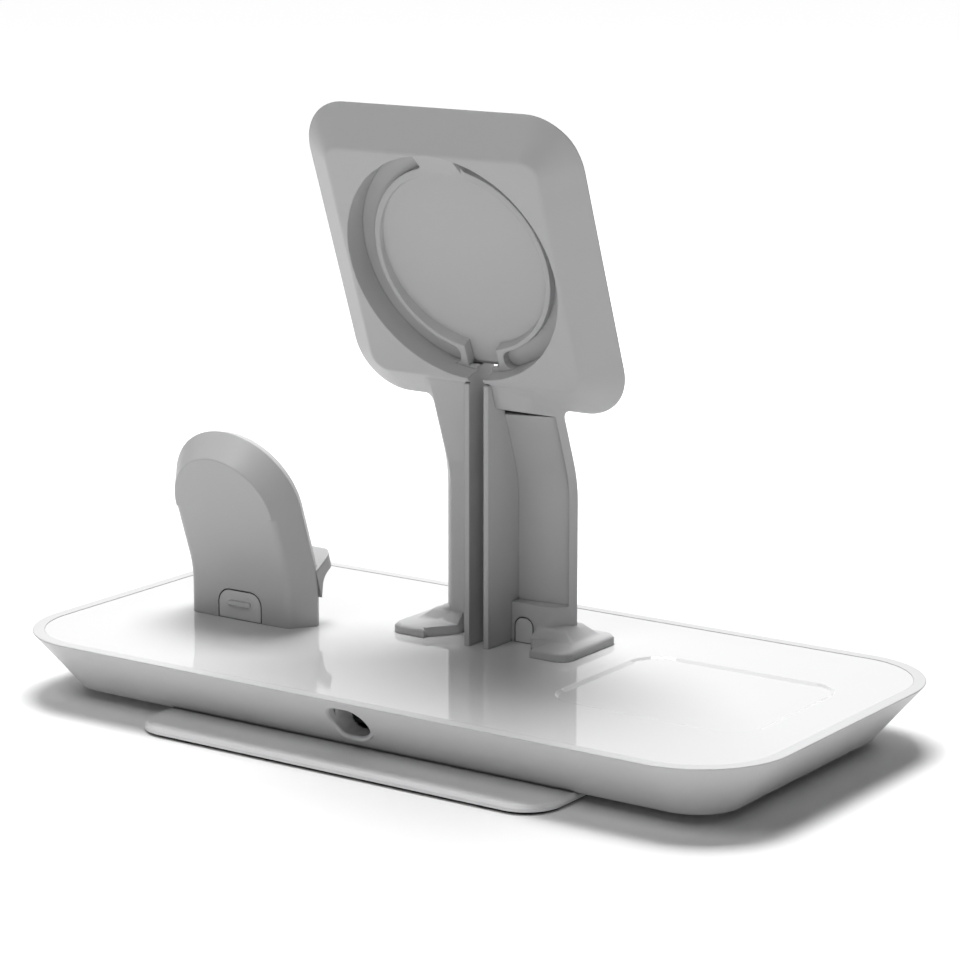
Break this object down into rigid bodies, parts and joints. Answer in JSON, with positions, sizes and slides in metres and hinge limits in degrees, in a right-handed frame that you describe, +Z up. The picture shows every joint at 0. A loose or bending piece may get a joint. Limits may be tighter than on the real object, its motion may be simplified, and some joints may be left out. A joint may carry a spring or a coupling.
{
  "type": "three in one wireless charger",
  "caption": "Flat charging base with a shallow earbud seat, a removable leaning phone stand with a round puck seat and lead slot, and a removable watch stand with a shelf.",
  "frame": {"origin": "middle of the base in plan, on the surface that the rubber sole stands on", "axes": "+X along the base to the watch stand, +Y to the back where the inlet is, +Z up"},
  "size_m": [0.2248, 0.1163, 0.1578],
  "materials": {
    "white_plastic": "moulded satin",
    "stand_plastic": "moulded satin",
    "gloss_top": "polished",
    "foot_plastic": "moulded satin",
    "sole_rubber": "matte",
    "latch_plastic": "moulded satin",
    "steel": "plain",
    "contact_metal": "plated",
    "copper": "enamelled wire",
    "ferrite": "sintered",
    "board_laminate": "solder resist",
    "chip_black": "moulded",
    "inner_plastic": "moulded"
  },
  "bodies": {
    "base": {"base_shell": "white_plastic", "top_plate": "gloss_top", "foot_plate": "foot_plastic", "foot_sole": "sole_rubber", "foot_screws": "steel", "socket_shell": "steel", "socket_tongue": "inner_plastic", "main_board": "board_laminate", "board_screws": "steel", "board_chips": "chip_black", "earbud_coil": "copper", "earbud_ferrite": "ferrite", "ballast_plate": "steel", "phone_dock": "inner_plastic", "watch_dock": "inner_plastic", "dock_pins": "contact_metal"},
    "phone_support": {"phone_stand": "stand_plastic"},
    "phone_button": {"phone_latch": "latch_plastic"},
    "watch_support": {"watch_stand": "stand_plastic", "watch_cover": "stand_plastic", "watch_puck": "white_plastic", "watch_coil": "copper", "watch_magnet": "steel", "watch_ferrite": "ferrite"},
    "watch_button": {"watch_latch": "latch_plastic"}
  },
  "joints": [
    {"name": "phone_stand_lift", "type": "slide", "parent": "base", "child": "phone_support", "axis": [0, 0, 1], "range_m": [0, 0.03]},
    {"name": "watch_stand_lift", "type": "slide", "parent": "base", "child": "watch_support", "axis": [0, 0, 1], "range_m": [0, 0.03]},
    {"name": "phone_latch_press", "type": "slide", "parent": "phone_support", "child": "phone_button", "axis": [0, -1, 0], "range_m": [0, 0.0012], "stiffness_N_per_m": 600, "springref_m": -0.0005},
    {"name": "watch_latch_press", "type": "slide", "parent": "watch_support", "child": "watch_button", "axis": [0, -1, 0], "range_m": [0, 0.0012], "stiffness_N_per_m": 600, "springref_m": -0.0005}
  ]
}
